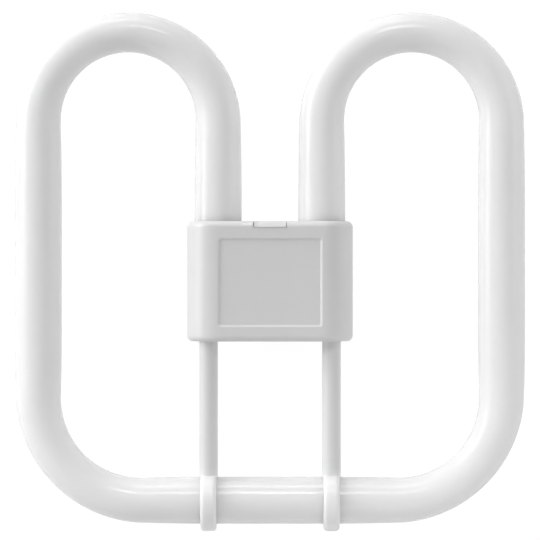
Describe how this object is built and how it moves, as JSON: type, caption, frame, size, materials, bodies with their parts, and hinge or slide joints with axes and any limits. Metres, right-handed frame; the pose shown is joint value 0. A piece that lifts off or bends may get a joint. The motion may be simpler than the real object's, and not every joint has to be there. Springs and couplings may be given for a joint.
{
  "type": "square compact fluorescent lamp",
  "caption": "Square double-D compact fluorescent lamp: bent white glass tube, moulded cap with recessed contact pins, and hooked arms that hold the tube.",
  "frame": {"origin": "midway between the contact pins, in the plane of the rim round the pin well", "axes": "+X across the lamp, +Y up the lamp from the hooks to the U bends, +Z out of the front of the cap"},
  "size_m": [0.138, 0.1403, 0.0259],
  "materials": {
    "tube_glass": "gloss, phosphor coating inside",
    "cap_plastic": "satin",
    "pin_brass": "drawn",
    "starter_glass": "gloss",
    "capacitor_resin": "dipped",
    "lead_wire": "tinned"
  },
  "bodies": {
    "root": {"discharge_tube": "tube_glass", "cap_cover": "cap_plastic", "cap_base": "cap_plastic", "contact_pin_left": "pin_brass", "contact_pin_right": "pin_brass", "starter_bulb": "starter_glass", "suppressor_capacitor": "capacitor_resin", "pin_lead_left": "lead_wire", "pin_lead_right": "lead_wire", "starter_lead_left": "lead_wire", "starter_lead_right": "lead_wire"}
  },
  "joints": []
}
